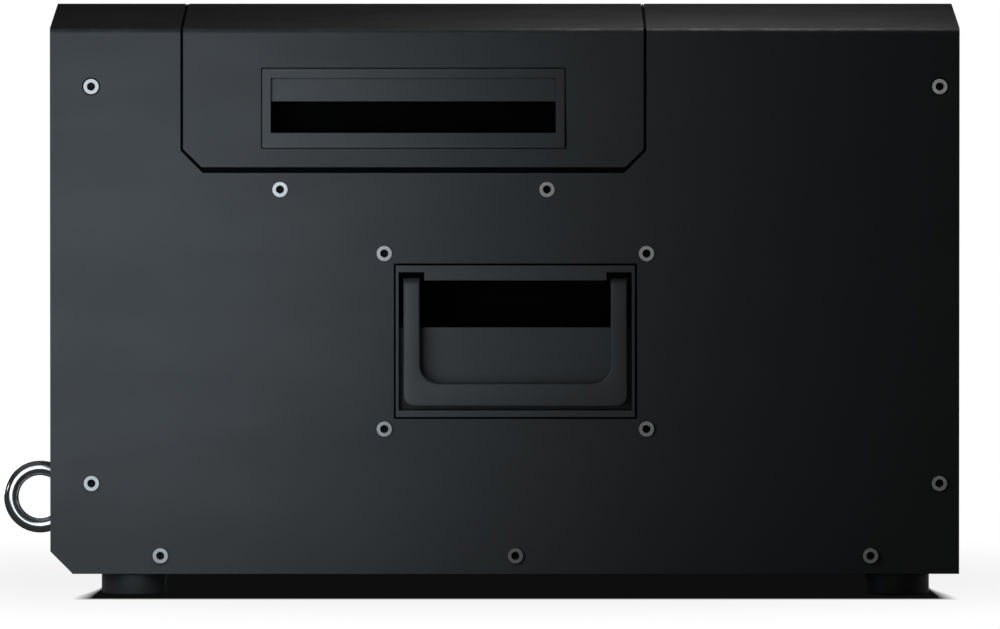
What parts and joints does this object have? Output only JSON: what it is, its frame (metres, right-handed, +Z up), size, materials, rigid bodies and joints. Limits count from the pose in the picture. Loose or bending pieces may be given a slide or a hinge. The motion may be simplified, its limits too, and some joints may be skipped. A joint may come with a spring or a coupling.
{
  "type": "stage flame machine",
  "caption": "Low black steel stage flame machine on rubber feet, with a lift-off lid, fold-flat side handles, a lifting eye and a recessed control panel.",
  "frame": {"origin": "on the floor, under the middle of the whole machine's box", "axes": "+Z up, +X along the casing from the control panel with its lifting eye to the plain front end, -Y the pictured long side"},
  "size_m": [0.4434, 0.25, 0.263],
  "materials": {
    "black_coat": "smooth satin charcoal-black powder coat on folded steel",
    "black_casting": "satin black coated steel handle",
    "black_plastic": "fine-grained black moulded plastic",
    "zinc_steel": "bright zinc-plated sheet",
    "foot_rubber": "moulded black rubber",
    "polished_steel": "polished steel",
    "screw_steel": "plain stainless screw heads",
    "stainless": "drawn stainless steel",
    "brass": "turned brass",
    "ceramic": "glazed white ceramic",
    "can_paint": "plain silver lacquered can",
    "lens": "dark smoked acrylic",
    "circuit_board": "green solder mask",
    "socket_metal": "black plated die-cast socket shell",
    "red_rubber": "red silicone ignition lead"
  },
  "bodies": {
    "casing": {"cover_shell": "black_coat", "rear_panel": "black_coat", "front_panel": "black_coat", "handle_dish_near": "black_coat", "handle_dish_far": "black_coat", "base_tray": "zinc_steel", "lid_ledge_near": "black_coat", "lid_ledge_far": "black_coat", "bulkhead_left": "zinc_steel", "bulkhead_right": "zinc_steel", "eye_nut": "zinc_steel", "power_supply": "zinc_steel", "foot_rear_near": "foot_rubber", "foot_rear_far": "foot_rubber", "foot_front_near": "foot_rubber", "foot_front_far": "foot_rubber", "eye_bolt": "polished_steel", "key_switch_barrel": "polished_steel", "burner_pan": "stainless", "fuel_pipe": "stainless", "nozzle": "brass", "valve_bridge": "brass", "electrode_near": "ceramic", "electrode_far": "ceramic", "fuel_can_near": "can_paint", "fuel_can_far": "can_paint", "can_cradle": "black_plastic", "solenoid_valve": "black_plastic", "ignition_transformer": "black_plastic", "ignition_lead": "red_rubber", "control_board": "circuit_board", "display_window": "lens", "data_in": "socket_metal", "data_out": "socket_metal", "power_inlet": "black_plastic", "power_outlet": "black_plastic", "screw_corner_1": "screw_steel", "screw_corner_2": "screw_steel", "screw_corner_3": "screw_steel", "screw_corner_4": "screw_steel", "screw_ledge_1": "screw_steel", "screw_ledge_2": "screw_steel", "screw_dish_1": "screw_steel", "screw_dish_2": "screw_steel", "screw_dish_3": "screw_steel", "screw_dish_4": "screw_steel", "screw_tray_1": "screw_steel", "screw_tray_2": "screw_steel", "screw_tray_3": "screw_steel"},
    "lid": {"lid": "black_coat", "lid_pull_near": "black_plastic", "lid_pull_far": "black_plastic"},
    "near_handle": {"handle_bail_near": "black_casting"},
    "far_handle": {"handle_bail_far": "black_casting"},
    "key": {"key_rotor": "polished_steel"},
    "rocker": {"power_rocker": "black_plastic"},
    "button_1": {"menu_button_1": "black_plastic"},
    "button_2": {"menu_button_2": "black_plastic"},
    "button_3": {"menu_button_3": "black_plastic"},
    "button_4": {"menu_button_4": "black_plastic"}
  },
  "joints": [
    {"name": "lid_lift", "type": "slide", "parent": "casing", "child": "lid", "axis": [0, 0, 1], "range_m": [0, 0.08]},
    {"name": "near_handle_swing", "type": "hinge", "parent": "casing", "child": "near_handle", "pos_m": [0.01663, -0.1205, 0.1434], "axis": [-1, 0, 0], "range_deg": [0, 90]},
    {"name": "far_handle_swing", "type": "hinge", "parent": "casing", "child": "far_handle", "pos_m": [0.01663, 0.1205, 0.1434], "axis": [1, 0, 0], "range_deg": [0, 90]},
    {"name": "menu_button_1_press", "type": "slide", "parent": "casing", "child": "button_1", "axis": [1, 0, 0], "range_m": [0, 0.0012], "stiffness_N_per_m": 600},
    {"name": "menu_button_2_press", "type": "slide", "parent": "casing", "child": "button_2", "axis": [1, 0, 0], "range_m": [0, 0.0012], "stiffness_N_per_m": 600},
    {"name": "menu_button_3_press", "type": "slide", "parent": "casing", "child": "button_3", "axis": [1, 0, 0], "range_m": [0, 0.0012], "stiffness_N_per_m": 600},
    {"name": "menu_button_4_press", "type": "slide", "parent": "casing", "child": "button_4", "axis": [1, 0, 0], "range_m": [0, 0.0012], "stiffness_N_per_m": 600},
    {"name": "key_turn", "type": "hinge", "parent": "casing", "child": "key", "pos_m": [-0.18848, 0.09, 0.214], "axis": [1, 0, 0], "range_deg": [0, 90]},
    {"name": "power_rocker_tilt", "type": "hinge", "parent": "casing", "child": "rocker", "pos_m": [-0.18848, 0.028, 0.154], "axis": [0, 1, 0], "range_deg": [0, 14]}
  ]
}
